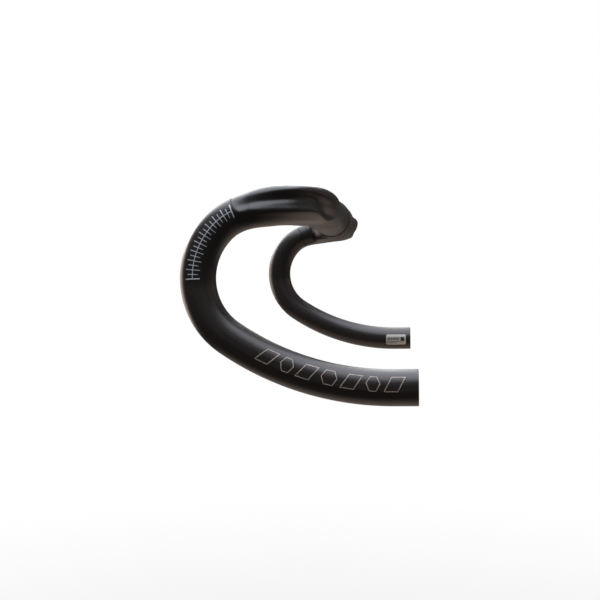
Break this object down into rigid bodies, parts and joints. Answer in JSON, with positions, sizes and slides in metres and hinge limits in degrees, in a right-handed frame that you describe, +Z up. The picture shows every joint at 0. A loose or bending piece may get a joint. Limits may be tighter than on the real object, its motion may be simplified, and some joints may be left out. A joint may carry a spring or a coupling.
{
  "type": "drop handlebar",
  "caption": "Bare carbon drop handlebar with wing-shaped tops, a raised round stem clamp band, bonded hooked drops, cable grooves and printed lever position scales.",
  "frame": {"origin": "centre of the stem clamp band, on its axis", "axes": "+X to the rider's right along the clamp axis, +Y forward, +Z up with the drops below the tops"},
  "size_m": [0.454, 0.1569, 0.1469],
  "materials": {
    "carbon_top": "satin clear coat over unidirectional carbon",
    "carbon_drop": "satin clear coat over unidirectional carbon",
    "sleeve": "raw moulded carbon, hidden inside the joint",
    "glue": "cured black epoxy",
    "grit": "fine gritty clamp coating",
    "ink": "cool light grey printed ink",
    "transfer": "thin warm grey outline transfer",
    "label": "satin off-white foil label"
  },
  "bodies": {
    "root": {"top_section": "carbon_top", "left_drop": "carbon_drop", "right_drop": "carbon_drop", "left_joint_sleeve": "sleeve", "right_joint_sleeve": "sleeve", "left_joint_bond": "glue", "right_joint_bond": "glue", "clamp_band": "grit", "clamp_angle_scale": "ink", "left_lever_scale": "ink", "right_lever_scale": "ink", "left_drop_graphic": "transfer", "right_drop_graphic": "transfer", "identification_label": "label"}
  },
  "joints": []
}
